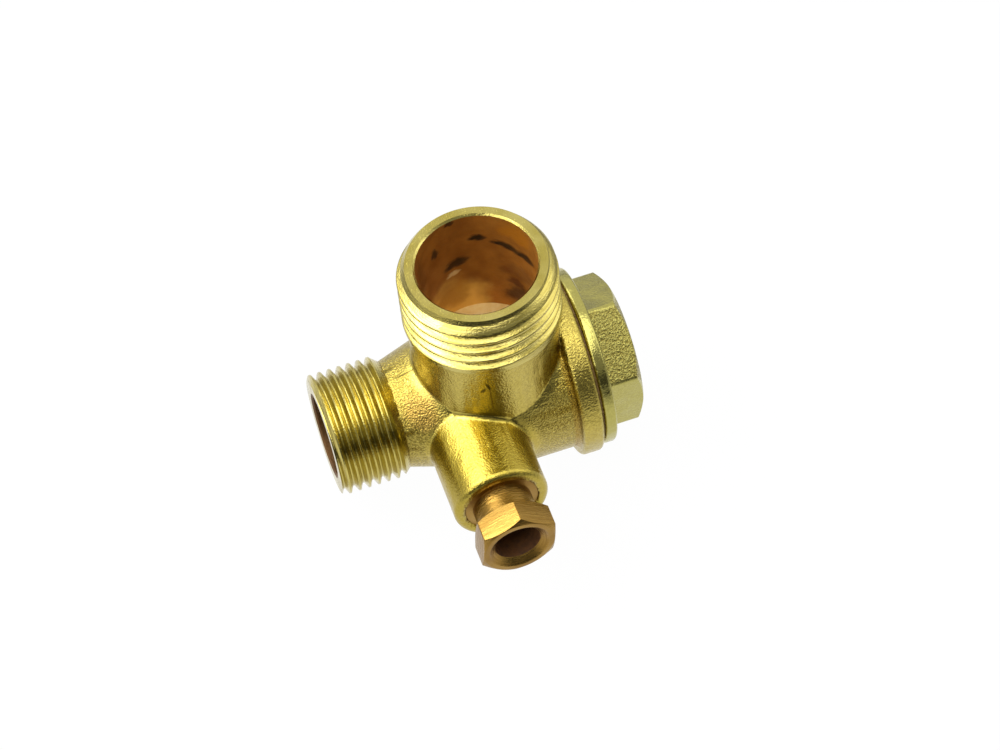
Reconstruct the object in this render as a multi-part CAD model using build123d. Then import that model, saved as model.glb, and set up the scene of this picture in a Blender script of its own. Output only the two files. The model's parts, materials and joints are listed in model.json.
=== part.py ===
from build123d import *
import math
import os

# Sizes in millimetres. The three port axes cross inside the body: the main axis
# runs along X (inlet at -X, cap at +X), the outlet stands along +Z and the gland
# for the relief tube points along -Y. Distances are counted from that crossing.

# Inlet port, a G 3/8 pipe thread
INLET_THREAD_D = 16.66
INLET_STANDOFF = 2.55
INLET_THREAD_LENGTH = 8.6
INLET_LEAD = 0.35
INLET_RUNOUT = 1.1
INLET_WALL = 2.68
INLET_MOUTH_BEVEL = 0.25

# Outlet port, a G 1/2 pipe thread on a plain neck
OUTLET_THREAD_D = 20.95
OUTLET_THREAD_LENGTH = 9.7
OUTLET_LEAD = 1.2
OUTLET_LEAD_LENGTH = 1.8
OUTLET_RUNOUT = 0.45
OUTLET_WALL = 2.525
OUTLET_MOUTH_BEVEL = 0.25
OUTLET_PORT_DEPTH = 1.05
NECK_UNDERCUT = 0.525
NECK_REACH = 5.35

# Cast barrel: a cone behind the inlet thread, a round chamber and a collar for the cap
CONE_UNDERCUT = 0.98
CONE_TOP = 0.4
CONE_KNEE = 8.0
BARREL_MARGIN = 1.4
COLLAR_HEIGHT = 1.45
COLLAR_WIDTH = 2.95
COLLAR_ROUND = 0.6
COLLAR_ROOT = 0.7
COLLAR_FOOT = 0.1
MOUTH_REACH = 1.75

# Gland boss for the relief tube, with an M10 x 1 thread
GLAND_OFFSET = 4.7
GLAND_THREAD_D = 10.0
GLAND_HOLE_BEVEL = 0.2
BOSS_WALL = 1.45
BOSS_REACH = 7.65
BOSS_ROUND = 0.9
TUBE_D = 6.0
TUBE_STOP_WALL = 0.9
TUBE_SOCKET_DEPTH = 1.0
RELIEF_HOLE_D = 3.0

# Soft corners left by the casting where the ports meet
NECK_BLEND = 0.7
BOSS_BLEND = 0.8

# Valve seat and chamber
SEAT_FACE = 1.5
SEAT_HEIGHT = 1.1
SEAT_NARROWING = 1.05
SEAT_LIP = 1.2
SEAT_WEB = 2.6
CHAMBER_STEP = 0.5

# Hexagon cap and its gasket
CAP_THREAD_D = 18.0
CAP_FLANGE_INSET = 0.65
CAP_FLANGE_WIDTH = 1.7
CAP_FLANGE_ROUND = 0.45
CAP_HEX_ACROSS = 17.9
CAP_HEX_HEIGHT = 4.8
CAP_HEX_CORNER = 0.8
CAP_HEX_CHAMFER_INSET = 0.25
CAP_HEX_CHAMFER_ANGLE = 30.0
CAP_END_ROUND = 0.5
CAP_HEX_TURN = 34.4
CAP_CAVITY_GAP = 1.1
CAP_SPIGOT_LEAD = 0.5
CAP_END_WALL = 1.4
GASKET_WIDTH = 0.3
GASKET_INSET = 0.45

# Poppet, its rubber disc and spring
POPPET_FLOW_GAP = 1.3
POPPET_HEAD_WIDTH = 2.2
POPPET_EDGE = 0.3
POPPET_RIM = 0.8
POPPET_LIFT = 4.0
STEM_D = 4.8
STEM_TIP = 0.5
STEM_GUIDED = 1.8
SEAL_WIDTH = 1.5
SEAL_RECESS = 0.6
SPRING_GAP = 0.9
SPRING_WIRE_D = 0.8
SPRING_TURNS = 5.5

# Gland nut and ferrule
NUT_ACROSS = 9.7
NUT_HEX_WIDTH = 3.8
NUT_HEX_CORNER = 0.25
NUT_CHAMFER_INSET = 0.1
NUT_CHAMFER_ANGLE = 30.0
NUT_NECK_WALL = 0.9
NUT_STANDOFF = 3.2
NUT_THREAD_SINK = 1.4
NUT_LAND_INSET = 0.3
NUT_RELIEF = 0.2
NUT_MOUTH_BEVEL = 1.0
NUT_MOUTH_DEPTH = 0.8
NUT_LEAD = 0.4
NUT_TURN = 23.0
FERRULE_GAP = 0.4
FERRULE_LENGTH = 2.6
FERRULE_NOSE_WALL = 0.4
FERRULE_TRAVEL = 1.25

# Clearances, on the radius or between faces
THREAD_CLEARANCE = 0.05
GUIDE_CLEARANCE = 0.08
TUBE_CLEARANCE = 0.1
SOCKET_CLEARANCE = 0.5
FERRULE_CLEARANCE = 0.2
SEAL_CLEARANCE = 0.05
FACE_CLEARANCE = 0.05
SPRING_SEAT = 0.02
LIFT_CLEARANCE = 0.2

# Port axes: local x runs along the port, local y is the radius
MAIN = Plane((0, 0, 0), x_dir=(1, 0, 0), z_dir=(0, 0, 1))
OUTLET = Plane((0, 0, 0), x_dir=(0, 0, 1), z_dir=(0, 1, 0))
GLAND = Plane((-GLAND_OFFSET, 0, 0), x_dir=(0, -1, 0), z_dir=(0, 0, 1))

# Diameters and places worked out from the sizes above
NECK_D = OUTLET_THREAD_D - 2 * NECK_UNDERCUT
BARREL_D = NECK_D + 2 * BARREL_MARGIN
COLLAR_D = BARREL_D + 2 * COLLAR_HEIGHT
CONE_START_D = INLET_THREAD_D - 2 * CONE_UNDERCUT
BOSS_D = GLAND_THREAD_D + 2 * BOSS_WALL
INLET_BORE_D = INLET_THREAD_D - 2 * INLET_WALL
OUTLET_BORE_D = OUTLET_THREAD_D - 2 * OUTLET_WALL
SEAT_BORE_D = INLET_BORE_D - 2 * SEAT_NARROWING
CHAMBER_D = CAP_THREAD_D - 2 * CHAMBER_STEP
CAP_FLANGE_D = COLLAR_D - 2 * CAP_FLANGE_INSET
GASKET_D = CAP_FLANGE_D - 2 * GASKET_INSET
POPPET_HEAD_D = CHAMBER_D - 2 * POPPET_FLOW_GAP
SEAL_D = POPPET_HEAD_D - 2 * POPPET_RIM
SPRING_D = STEM_D + 2 * SPRING_GAP + 2 * SPRING_WIRE_D
CAP_CAVITY_D = SPRING_D + 2 * CAP_CAVITY_GAP
OUTLET_SHOULDER = BARREL_D / 2 + NECK_REACH
OUTLET_END = OUTLET_SHOULDER + OUTLET_THREAD_LENGTH
OUTLET_FLOOR = CHAMBER_D / 2 - OUTLET_PORT_DEPTH
INLET_SHOULDER = GLAND_OFFSET + BOSS_D / 2 + INLET_STANDOFF + INLET_RUNOUT
INLET_END = INLET_SHOULDER + INLET_THREAD_LENGTH
MOUTH_FACE = NECK_D / 2 + MOUTH_REACH
BOSS_END = BARREL_D / 2 + BOSS_REACH
CHAMBER_FLOOR = -SEAT_FACE - SEAT_HEIGHT
FLANGE_FACE = MOUTH_FACE + GASKET_WIDTH
CAP_HEX_START = FLANGE_FACE + CAP_FLANGE_WIDTH
CAP_END = CAP_HEX_START + CAP_HEX_HEIGHT
SEAL_BACK = SEAL_WIDTH - SEAT_FACE
POPPET_BACK = SEAL_BACK - SEAL_RECESS + POPPET_HEAD_WIDTH
SPIGOT_END = POPPET_BACK + POPPET_LIFT + LIFT_CLEARANCE
GUIDE_END = CAP_END - CAP_END_WALL
STEM_END = GUIDE_END - POPPET_LIFT - LIFT_CLEARANCE
SPRING_STOP = STEM_END - STEM_GUIDED
TUBE_BORE_R = TUBE_D / 2 + TUBE_CLEARANCE
TUBE_SOCKET_R = TUBE_D / 2 + SOCKET_CLEARANCE
TUBE_STOP = CHAMBER_D / 2 + TUBE_STOP_WALL
TUBE_SOCKET_MOUTH = TUBE_STOP + TUBE_SOCKET_DEPTH
GLAND_HOLE_R = GLAND_THREAD_D / 2
GLAND_HOLE_END = TUBE_SOCKET_MOUTH + GLAND_HOLE_R - TUBE_SOCKET_R
FERRULE_R = GLAND_HOLE_R - FERRULE_GAP
FERRULE_BORE_R = TUBE_D / 2 + FERRULE_CLEARANCE
FERRULE_NOSE_R = FERRULE_BORE_R + FERRULE_NOSE_WALL
FERRULE_SEAT = TUBE_SOCKET_MOUTH + FERRULE_NOSE_R - TUBE_SOCKET_R + FACE_CLEARANCE
FERRULE_NOSE = FERRULE_SEAT + FERRULE_TRAVEL
FERRULE_BACK = FERRULE_NOSE + FERRULE_LENGTH
NUT_NECK_R = TUBE_BORE_R + NUT_NECK_WALL
NUT_TIP = FERRULE_BACK + FACE_CLEARANCE
NUT_THREAD_END = BOSS_END - NUT_THREAD_SINK
NUT_HEX_START = BOSS_END + NUT_STANDOFF
NUT_LAND = BOSS_END + NUT_LAND_INSET
NUT_END = NUT_HEX_START + NUT_HEX_WIDTH


def turned(port, profile):
    """A solid turned about a port's axis from (distance, radius) points."""
    face = make_face(Polyline(*profile, close=True))
    return revolve(port * face, Axis(port.origin, port.x_dir))


def cylinder(port, start, end, radius):
    """A plain round solid along a port's axis, between two distances."""
    return turned(port, [(start, 0), (end, 0), (end, radius), (start, radius)])


def ring_edges(shape, port, distance, radius):
    """The circular edges of one radius that lie at one distance along a port's axis."""
    centre = port.from_local_coords(Vector(distance, 0, 0))
    circles = shape.edges().filter_by(GeomType.CIRCLE)
    return [e for e in circles if abs(e.radius - radius) < 0.01 and (e.arc_center - centre).length < 0.01]


def hexagon_bar(port, start, end, across, corner, turn):
    """A six-sided bar along a port's axis, its corners a little rounded."""
    section = Plane(port.from_local_coords(Vector(start, 0, 0)), x_dir=port.y_dir, z_dir=port.x_dir)
    outline = RegularPolygon(across / 2, 6, major_radius=False)
    outline = fillet(outline.vertices(), corner)
    return extrude(section * Rot(0, 0, turn) * outline, end - start)


def hexagon_envelope(port, start, end, across, mouth_r, angle, both_ends):
    """The turned form that bevels a hexagon's corners, at its far end or at both."""
    corner_r = across / math.sqrt(3)
    rise = (corner_r - mouth_r) * math.tan(math.radians(angle))
    near = [(start, mouth_r), (start + rise, corner_r)] if both_ends else [(start, corner_r)]
    return turned(port, [(start, 0), *near, (end - rise, corner_r), (end, mouth_r), (end, 0)])


def body_collar():
    """The collar round the cap's mouth, with soft rims and a hollow root that runs into the barrel."""
    foot_r = BARREL_D / 2 - COLLAR_FOOT
    back = MOUTH_FACE - COLLAR_WIDTH
    collar = turned(MAIN, [
        (back - 2 * COLLAR_ROOT, 0),
        (back - 2 * COLLAR_ROOT, foot_r),
        (back, foot_r),
        (back, COLLAR_D / 2),
        (MOUTH_FACE, COLLAR_D / 2),
        (MOUTH_FACE, 0),
    ])
    collar = fillet(ring_edges(collar, MAIN, back, foot_r), COLLAR_ROOT)
    rims = ring_edges(collar, MAIN, back, COLLAR_D / 2) + ring_edges(collar, MAIN, MOUTH_FACE, COLLAR_D / 2)
    return fillet(rims, COLLAR_ROUND)


def outlet_thread():
    """The outlet's thread as its plain round envelope, with a lead bevel at the end."""
    thread_r = OUTLET_THREAD_D / 2
    return turned(OUTLET, [
        (OUTLET_SHOULDER - OUTLET_RUNOUT, 0),
        (OUTLET_SHOULDER - OUTLET_RUNOUT, NECK_D / 2),
        (OUTLET_SHOULDER, thread_r),
        (OUTLET_END - OUTLET_LEAD_LENGTH, thread_r),
        (OUTLET_END, thread_r - OUTLET_LEAD),
        (OUTLET_END, 0),
    ])


def body_outside():
    """The cast outside: inlet thread, cone and barrel, outlet neck, gland boss and collar."""
    inlet_r = INLET_THREAD_D / 2
    cone_start = -INLET_SHOULDER + INLET_RUNOUT
    main = turned(MAIN, [
        (-INLET_END, 0),
        (-INLET_END, inlet_r - INLET_LEAD),
        (-INLET_END + INLET_LEAD, inlet_r),
        (-INLET_SHOULDER, inlet_r),
        (cone_start, CONE_START_D / 2),
        (-CONE_TOP, BARREL_D / 2),
        (MOUTH_FACE, BARREL_D / 2),
        (MOUTH_FACE, 0),
    ])
    main = fillet(ring_edges(main, MAIN, -CONE_TOP, BARREL_D / 2), CONE_KNEE)
    neck = cylinder(OUTLET, 0, OUTLET_SHOULDER, NECK_D / 2)
    boss = cylinder(GLAND, 0, BOSS_END, BOSS_D / 2)
    boss = fillet(ring_edges(boss, GLAND, BOSS_END, BOSS_D / 2), BOSS_ROUND)
    tee = main + neck
    tee = fillet(new_edges(main, neck, combined=tee), NECK_BLEND)
    cast = tee + boss
    cast = fillet(new_edges(tee, boss, combined=cast), BOSS_BLEND)
    return cast + body_collar() + outlet_thread()


def body_passages():
    """The hollow of the body: inlet bore, raised seat, chamber, cap mouth, outlet and gland."""
    seat_r = SEAT_BORE_D / 2
    web_start = CHAMBER_FLOOR - SEAT_WEB
    lip_r = seat_r + SEAT_LIP
    flow = turned(MAIN, [
        (-INLET_END, 0),
        (-INLET_END, INLET_BORE_D / 2 + INLET_MOUTH_BEVEL),
        (-INLET_END + INLET_MOUTH_BEVEL, INLET_BORE_D / 2),
        (web_start, INLET_BORE_D / 2),
        (web_start + INLET_BORE_D / 2 - seat_r, seat_r),
        (-SEAT_FACE, seat_r),
        (-SEAT_FACE, lip_r),
        (CHAMBER_FLOOR, lip_r),
        (CHAMBER_FLOOR, CHAMBER_D / 2),
        (SPIGOT_END - FACE_CLEARANCE, CHAMBER_D / 2),
        (SPIGOT_END - FACE_CLEARANCE, CAP_THREAD_D / 2 + THREAD_CLEARANCE),
        (MOUTH_FACE, CAP_THREAD_D / 2 + THREAD_CLEARANCE),
        (MOUTH_FACE, 0),
    ])
    bevel = OUTLET_MOUTH_BEVEL
    outlet = turned(OUTLET, [
        (OUTLET_FLOOR, 0),
        (OUTLET_FLOOR, OUTLET_BORE_D / 2),
        (OUTLET_END - bevel, OUTLET_BORE_D / 2),
        (OUTLET_END, OUTLET_BORE_D / 2 + bevel),
        (OUTLET_END, 0),
    ])
    gland = turned(GLAND, [
        (0, 0),
        (0, RELIEF_HOLE_D / 2),
        (TUBE_STOP, RELIEF_HOLE_D / 2),
        (TUBE_STOP, TUBE_SOCKET_R),
        (TUBE_SOCKET_MOUTH, TUBE_SOCKET_R),
        (GLAND_HOLE_END, GLAND_HOLE_R),
        (BOSS_END - GLAND_HOLE_BEVEL, GLAND_HOLE_R),
        (BOSS_END, GLAND_HOLE_R + GLAND_HOLE_BEVEL),
        (BOSS_END, 0),
    ])
    return [flow, outlet, gland]


def valve_body():
    """The one-piece body, hollowed from the cast outside."""
    body = body_outside()
    for passage in body_passages():
        body = body - passage
    return body


def valve_cap():
    """The hexagon cap: threaded spigot, flange, spring cavity and stem guide."""
    spigot_r = CAP_THREAD_D / 2
    cavity_r = CAP_CAVITY_D / 2
    flange = turned(MAIN, [
        (SPIGOT_END, 0),
        (SPIGOT_END, spigot_r - CAP_SPIGOT_LEAD),
        (SPIGOT_END + CAP_SPIGOT_LEAD, spigot_r),
        (FLANGE_FACE, spigot_r),
        (FLANGE_FACE, CAP_FLANGE_D / 2),
        (CAP_HEX_START, CAP_FLANGE_D / 2),
        (CAP_HEX_START, 0),
    ])
    rims = ring_edges(flange, MAIN, FLANGE_FACE, CAP_FLANGE_D / 2)
    rims += ring_edges(flange, MAIN, CAP_HEX_START, CAP_FLANGE_D / 2)
    flange = fillet(rims, CAP_FLANGE_ROUND)
    chamfer_r = CAP_HEX_ACROSS / 2 - CAP_HEX_CHAMFER_INSET
    hexagon = hexagon_bar(MAIN, CAP_HEX_START, CAP_END, CAP_HEX_ACROSS, CAP_HEX_CORNER, CAP_HEX_TURN)
    hexagon = hexagon & hexagon_envelope(MAIN, CAP_HEX_START, CAP_END, CAP_HEX_ACROSS,
                                         chamfer_r, CAP_HEX_CHAMFER_ANGLE, False)
    hexagon = fillet(ring_edges(hexagon, MAIN, CAP_END, chamfer_r), CAP_END_ROUND)
    cavity = turned(MAIN, [
        (SPIGOT_END, 0),
        (SPIGOT_END, cavity_r),
        (SPRING_STOP, cavity_r),
        (SPRING_STOP, STEM_D / 2 + GUIDE_CLEARANCE),
        (GUIDE_END, STEM_D / 2 + GUIDE_CLEARANCE),
        (GUIDE_END, 0),
    ])
    return flange + hexagon - cavity


def cap_gasket():
    """The flat sealing ring between the collar and the cap's flange."""
    inner_r = CAP_THREAD_D / 2 + THREAD_CLEARANCE
    return turned(MAIN, [
        (MOUTH_FACE, inner_r),
        (FLANGE_FACE, inner_r),
        (FLANGE_FACE, GASKET_D / 2),
        (MOUTH_FACE, GASKET_D / 2),
    ])


def poppet():
    """The poppet: a head with a recess for the rubber disc, and a stem guided in the cap."""
    head_r = POPPET_HEAD_D / 2
    front = SEAL_BACK - SEAL_RECESS
    recess_r = SEAL_D / 2 + SEAL_CLEARANCE
    return turned(MAIN, [
        (SEAL_BACK, 0),
        (SEAL_BACK, recess_r),
        (front, recess_r),
        (front, head_r - POPPET_EDGE),
        (front + POPPET_EDGE, head_r),
        (POPPET_BACK - POPPET_EDGE, head_r),
        (POPPET_BACK, head_r - POPPET_EDGE),
        (POPPET_BACK, STEM_D / 2),
        (STEM_END - STEM_TIP, STEM_D / 2),
        (STEM_END, STEM_D / 2 - STEM_TIP),
        (STEM_END, 0),
    ])


def poppet_seal():
    """The rubber disc that closes on the raised seat."""
    return cylinder(MAIN, -SEAT_FACE, SEAL_BACK, SEAL_D / 2)


def poppet_spring():
    """The coil spring round the stem, from the poppet's back to the end of the cap's cavity."""
    coil_r = (SPRING_D - SPRING_WIRE_D) / 2
    margin = SPRING_WIRE_D / 2 + SPRING_SEAT
    height = SPRING_STOP - POPPET_BACK - 2 * margin
    coil = Helix(height / SPRING_TURNS, height, coil_r)
    wire = Plane(coil @ 0, z_dir=coil % 0) * Circle(SPRING_WIRE_D / 2)
    spring = sweep(wire, coil)
    return Location((POPPET_BACK + margin, 0, 0), (0, 90, 0)) * spring


def gland_nut():
    """The gland nut: threaded tip, plain neck and hexagon, its bore relieved behind the land for the tube."""
    thread_r = GLAND_HOLE_R - THREAD_CLEARANCE
    barrel = turned(GLAND, [
        (NUT_TIP, 0),
        (NUT_TIP, thread_r - NUT_LEAD),
        (NUT_TIP + NUT_LEAD, thread_r),
        (NUT_THREAD_END, thread_r),
        (NUT_THREAD_END, NUT_NECK_R),
        (NUT_HEX_START, NUT_NECK_R),
        (NUT_HEX_START, 0),
    ])
    hexagon = hexagon_bar(GLAND, NUT_HEX_START, NUT_END, NUT_ACROSS, NUT_HEX_CORNER, NUT_TURN)
    hexagon = hexagon & hexagon_envelope(GLAND, NUT_HEX_START, NUT_END, NUT_ACROSS,
                                         NUT_ACROSS / 2 - NUT_CHAMFER_INSET, NUT_CHAMFER_ANGLE, True)
    bore = turned(GLAND, [
        (NUT_TIP, 0),
        (NUT_TIP, TUBE_BORE_R + NUT_RELIEF),
        (NUT_LAND - NUT_RELIEF, TUBE_BORE_R + NUT_RELIEF),
        (NUT_LAND, TUBE_BORE_R),
        (NUT_END - NUT_MOUTH_DEPTH, TUBE_BORE_R),
        (NUT_END, TUBE_BORE_R + NUT_MOUTH_BEVEL),
        (NUT_END, 0),
    ])
    return barrel + hexagon - bore


def gland_ferrule():
    """The brass olive that the nut pushes against the cone round the tube socket."""
    slope = FERRULE_R - FERRULE_NOSE_R
    return turned(GLAND, [
        (FERRULE_NOSE, FERRULE_BORE_R),
        (FERRULE_NOSE, FERRULE_NOSE_R),
        (FERRULE_NOSE + slope, FERRULE_R),
        (FERRULE_BACK - slope, FERRULE_R),
        (FERRULE_BACK, FERRULE_NOSE_R),
        (FERRULE_BACK, FERRULE_BORE_R),
    ])


os.makedirs("parts", exist_ok=True)
TO_FRAME = Location((0, 0, -OUTLET_SHOULDER))
for make in (valve_body, valve_cap, cap_gasket, poppet, poppet_seal, poppet_spring, gland_nut, gland_ferrule):
    export_step(make().moved(TO_FRAME), f"parts/{make.__name__}.step")
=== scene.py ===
"""Looks of a brass non-return valve: cut threads, cast skin, stained bores with painted shade and light,
spring and studio.
"""

import json
import logging
import math
from dataclasses import dataclass
from enum import Enum
from typing import Callable

import bpy
from mathutils import Matrix, Vector


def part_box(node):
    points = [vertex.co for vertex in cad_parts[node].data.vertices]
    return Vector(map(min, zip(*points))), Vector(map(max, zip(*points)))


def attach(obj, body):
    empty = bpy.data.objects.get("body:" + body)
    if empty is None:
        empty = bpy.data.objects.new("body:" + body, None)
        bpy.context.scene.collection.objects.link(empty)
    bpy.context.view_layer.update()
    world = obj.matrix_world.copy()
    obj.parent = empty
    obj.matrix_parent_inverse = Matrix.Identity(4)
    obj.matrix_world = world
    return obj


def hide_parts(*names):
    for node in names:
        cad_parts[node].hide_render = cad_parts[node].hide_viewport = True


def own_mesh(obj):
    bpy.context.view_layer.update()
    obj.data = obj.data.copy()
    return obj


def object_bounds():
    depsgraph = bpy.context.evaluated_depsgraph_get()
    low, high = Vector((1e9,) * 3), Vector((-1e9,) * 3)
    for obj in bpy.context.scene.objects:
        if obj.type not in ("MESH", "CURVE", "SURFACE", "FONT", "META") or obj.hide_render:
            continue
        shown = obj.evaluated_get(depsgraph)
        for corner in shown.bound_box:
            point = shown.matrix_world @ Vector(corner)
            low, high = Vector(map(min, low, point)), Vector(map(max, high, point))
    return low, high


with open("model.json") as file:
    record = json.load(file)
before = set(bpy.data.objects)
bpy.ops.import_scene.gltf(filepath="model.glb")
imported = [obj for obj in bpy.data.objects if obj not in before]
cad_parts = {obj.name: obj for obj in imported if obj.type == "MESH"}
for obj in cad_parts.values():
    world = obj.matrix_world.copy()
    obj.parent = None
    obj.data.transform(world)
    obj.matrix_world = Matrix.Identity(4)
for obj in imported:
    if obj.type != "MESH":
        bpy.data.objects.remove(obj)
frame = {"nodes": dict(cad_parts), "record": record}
CAD_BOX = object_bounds()
LOG = logging.getLogger("valve")

MM = 0.001
MOUNTS = {mount["name"]: mount for mount in frame["record"]["mounts"]}
MAIN_AXIS_Z = MOUNTS["inlet_thread"]["pos_m"][2]
OUTLET_BORE_RADIUS = 7.95
NECK_RADIUS = 9.95
CAP_FACE_RADIUS = 8.95
CAP_FACE_MIDDLE = 16.1
CAP_FACE_REACH = (5.0, 0.8, 6.2)
STAIN_EDGE_SCALE = 1.6
# Blender's noise stays mostly between these two values, which are spread to 0 and 1.
NOISE_LOW, NOISE_HIGH = 0.32, 0.68

Colour = tuple[float, float, float, float]


class Part(Enum):
    """The kinds of mesh element that an edit-mode selection can hold."""

    VERT = "vertices"
    FACE = "polygons"


class Cut(Enum):
    """What a Boolean does with the tool shape."""

    JOIN = "UNION"
    REMOVE = "DIFFERENCE"


class Port(Enum):
    """The axis that a turned surface is turned about."""

    INLET = 0
    GLAND = 1
    OUTLET = 2


def hex_colour(code: str) -> Colour:
    """Turns an sRGB hex colour to linear light.

    Args:
        code: The colour as #RRGGBB.

    Returns:
        Linear red, green, blue and an alpha of 1.
    """
    shares = [int(code[i:i + 2], 16) / 255 for i in (1, 3, 5)]
    linear = [s / 12.92 if s <= 0.04045 else ((s + 0.055) / 1.055) ** 2.4 for s in shares]
    return (*linear, 1.0)


def per_size(size_mm: float) -> float:
    """The texture scale that makes a pattern's features about this many millimetres wide."""
    return 1 / (size_mm * MM)


def add_node(tree: bpy.types.NodeTree, kind: str, values: dict | None = None,
             links: dict | None = None, **settings: object) -> bpy.types.Node:
    """Adds a shader node with its settings and links.

    Args:
        tree: The material's or world's node tree.
        kind: The node's type.
        values: Constant values by input name or number.
        links: Output sockets to join, by input name or number.
        settings: The node's own properties.

    Returns:
        The new node.
    """
    node = tree.nodes.new(kind)
    for name, value in settings.items():
        setattr(node, name, value)
    for socket, value in (values or {}).items():
        node.inputs[socket].default_value = value
    for socket, source in (links or {}).items():
        tree.links.new(source, node.inputs[socket])
    return node


def direction(longitude: float, latitude: float) -> Vector:
    """The unit vector towards a longitude and a latitude, in degrees."""
    lon, lat = math.radians(longitude), math.radians(latitude)
    return Vector((math.cos(lat) * math.cos(lon), math.cos(lat) * math.sin(lon), math.sin(lat)))


def select_only(piece: bpy.types.Object) -> None:
    """Makes one object the only selected one and the active one."""
    bpy.ops.object.select_all(action="DESELECT")
    piece.select_set(True)
    bpy.context.view_layer.objects.active = piece


def pick(piece: bpy.types.Object, part: Part, test: Callable[[Vector], bool]) -> None:
    """Selects a piece's elements by place and leaves the piece in edit mode.

    Args:
        piece: The active mesh object.
        part: The kind of element.
        test: Says whether an element with this middle is wanted.
    """
    bpy.ops.object.mode_set(mode="EDIT")
    bpy.ops.mesh.select_mode(type=part.name)
    bpy.ops.mesh.select_all(action="DESELECT")
    bpy.ops.object.mode_set(mode="OBJECT")
    places = [vertex.co for vertex in piece.data.vertices]
    for element in getattr(piece.data, part.value):
        if part is Part.VERT:
            middle = element.co
        else:
            middle = sum((places[i] for i in element.vertices), Vector()) / len(element.vertices)
        element.select = test(middle)
    bpy.ops.object.mode_set(mode="EDIT")


def apply_modifier(piece: bpy.types.Object, kind: str, **settings: object) -> None:
    """Adds a modifier to a piece and applies it.

    Args:
        piece: The mesh object.
        kind: The modifier's type.
        settings: The modifier's properties.
    """
    select_only(piece)
    modifier = piece.modifiers.new(kind.lower(), kind)
    for name, value in settings.items():
        setattr(modifier, name, value)
    bpy.ops.object.modifier_apply(modifier=modifier.name)


def combine(piece: bpy.types.Object, tool: bpy.types.Object, cut: Cut) -> None:
    """Joins a tool shape to a piece or takes it away, and deletes the tool."""
    apply_modifier(piece, "BOOLEAN", operation=cut.value, solver="EXACT", object=tool)
    bpy.data.objects.remove(tool)


def merge_doubles(reach_mm: float) -> None:
    """Merges the active piece's vertices that lie this close together, in millimetres."""
    bpy.ops.object.mode_set(mode="EDIT")
    bpy.ops.mesh.select_all(action="SELECT")
    bpy.ops.mesh.remove_doubles(threshold=reach_mm * MM)
    bpy.ops.object.mode_set(mode="OBJECT")


def close_ends() -> None:
    """Closes the ends of the active piece's swept shape and turns its faces outwards."""
    bpy.ops.object.mode_set(mode="EDIT")
    bpy.ops.mesh.select_all(action="SELECT")
    bpy.ops.mesh.fill_holes(sides=0)
    bpy.ops.mesh.select_all(action="SELECT")
    bpy.ops.mesh.normals_make_consistent(inside=False)
    bpy.ops.object.mode_set(mode="OBJECT")


def merged_copy(node: str, name: str) -> bpy.types.Object:
    """Copies a CAD node's mesh and joins its loose triangles.

    Args:
        node: The CAD node's name.
        name: The new piece's name.

    Returns:
        The new piece, selected and active.
    """
    piece = bpy.data.objects.new(name, frame["nodes"][node].data.copy())
    bpy.context.scene.collection.objects.link(piece)
    select_only(piece)
    bpy.ops.mesh.customdata_custom_splitnormals_clear()
    merge_doubles(0.001)
    return piece


@dataclass(frozen=True)
class Stain:
    """A patch of a surface: its middle and reach in millimetres, turn in degrees, colour and strength.

    Its edge is ragged, and from its core, a share of its reach, it fades outwards.
    """

    middle: tuple[float, float, float]
    reach: tuple[float, float, float]
    turn: tuple[float, float, float] = (0.0, 0.0, 0.0)
    colour: str = "#000000"
    strength: float = 0.85
    ragged: float = 0.5
    core: float = 0.4

    def share(self, tree: bpy.types.NodeTree, place: bpy.types.NodeSocket) -> bpy.types.NodeSocket:
        """How much of the mark is at a place, from 0 up to its strength."""
        local = add_node(tree, "ShaderNodeMapping",
                         {"Location": [c * MM for c in self.middle], "Scale": [c * MM for c in self.reach],
                          "Rotation": [math.radians(c) for c in self.turn]},
                         {"Vector": place}, vector_type="TEXTURE")
        edge = add_node(tree, "ShaderNodeTexNoise", {"Scale": STAIN_EDGE_SCALE, "Detail": 3.0},
                        {"Vector": local.outputs["Vector"]})
        far = add_node(tree, "ShaderNodeVectorMath", None, {0: local.outputs["Vector"]}, operation="LENGTH")
        torn = add_node(tree, "ShaderNodeMath", {1: 2 * self.ragged},
                        {0: edge.outputs["Fac"], 2: far.outputs["Value"]}, operation="MULTIPLY_ADD")
        share = add_node(tree, "ShaderNodeMapRange",
                         {"From Min": 1.0 + self.ragged, "From Max": self.core + self.ragged,
                          "To Max": self.strength},
                         {"Value": torn.outputs[0]}, interpolation_type="SMOOTHSTEP")
        return share.outputs["Result"]

    def lay_over(self, tree: bpy.types.NodeTree, place: bpy.types.NodeSocket,
                 colour: bpy.types.NodeSocket) -> bpy.types.NodeSocket:
        """Lays the mark over a colour.

        Args:
            tree: The material's node tree.
            place: The place on the piece.
            colour: The colour under the mark.

        Returns:
            The colour with the mark on it.
        """
        mixed = add_node(tree, "ShaderNodeMix", {7: hex_colour(self.colour)},
                         {0: self.share(tree, place), 6: colour}, data_type="RGBA")
        return mixed.outputs[2]


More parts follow.
